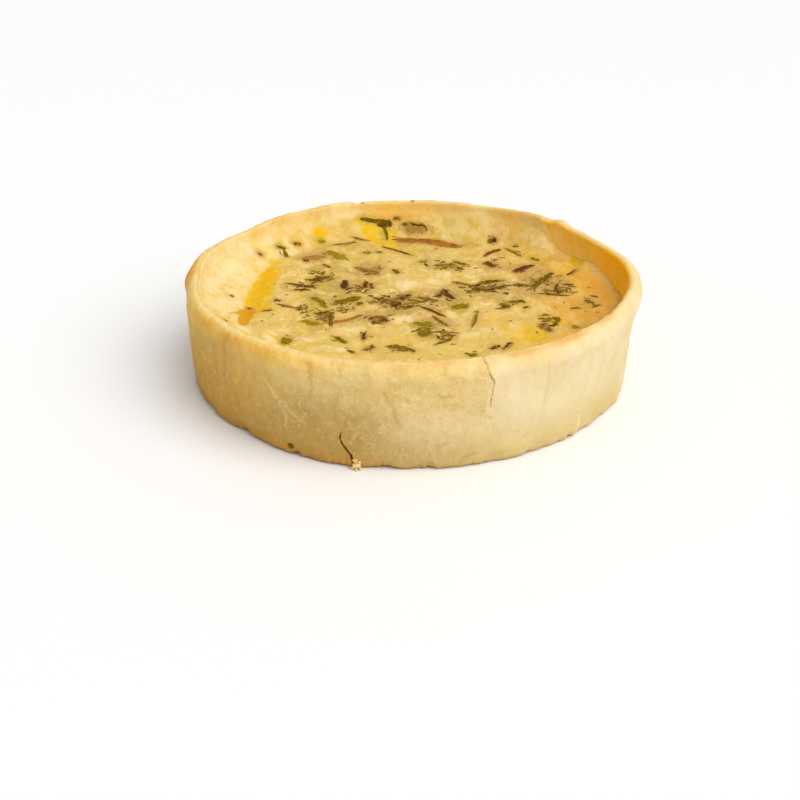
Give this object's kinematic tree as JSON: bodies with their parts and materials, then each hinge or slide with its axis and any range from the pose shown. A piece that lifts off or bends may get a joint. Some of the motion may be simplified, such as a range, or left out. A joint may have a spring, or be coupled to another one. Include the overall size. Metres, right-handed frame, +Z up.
{
  "type": "quiche",
  "caption": "Round individual quiche: a straight-sided shortcrust pastry case filled with baked egg custard, with dried herbs, onion shreds and melted cheese on top.",
  "frame": {"origin": "middle of the foot of the pastry case, on the surface that it stands on", "axes": "+Z up out of the filling; -Y is the front, with the foot crack; +X is the side where the bare inside of the wall shows"},
  "size_m": [0.1214, 0.1196, 0.0291],
  "materials": {
    "crust": "baked shortcrust pastry, matt, pale gold and browner along the rim and the left side",
    "custard": "baked egg custard with melted cheese, satin, pale yellow",
    "green_herb": "dried herb leaf, matt, olive green",
    "dark_herb": "baked herb and onion flakes, matt, dark brown",
    "red_onion": "baked red onion shreds, satin, red-brown"
  },
  "bodies": {
    "root": {"pastry_case": "crust", "filling": "custard"}
  },
  "joints": []
}
